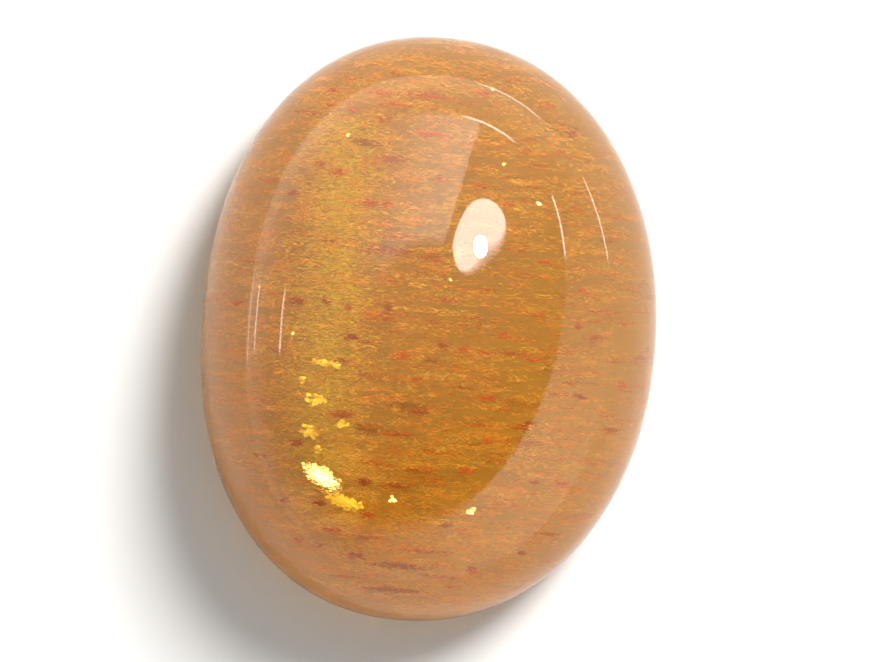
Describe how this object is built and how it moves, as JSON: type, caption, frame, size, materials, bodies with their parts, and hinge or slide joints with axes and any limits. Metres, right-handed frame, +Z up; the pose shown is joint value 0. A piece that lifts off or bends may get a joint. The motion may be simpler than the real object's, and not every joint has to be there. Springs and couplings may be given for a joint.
{
  "type": "star sunstone cabochon",
  "caption": "Polished oval sunstone cabochon with a smooth dome on a flat base, honey orange and translucent.",
  "frame": {"origin": "middle of the flat base, under the middle of the oval", "axes": "+Z up through the top of the dome, +Y along the oval's long axis, +X across it"},
  "size_m": [0.0094, 0.012, 0.0044],
  "materials": {
    "sunstone": "high polish, translucent honey orange with fine reddish brown platelets"
  },
  "bodies": {
    "root": {"sunstone_cabochon": "sunstone"}
  },
  "joints": []
}
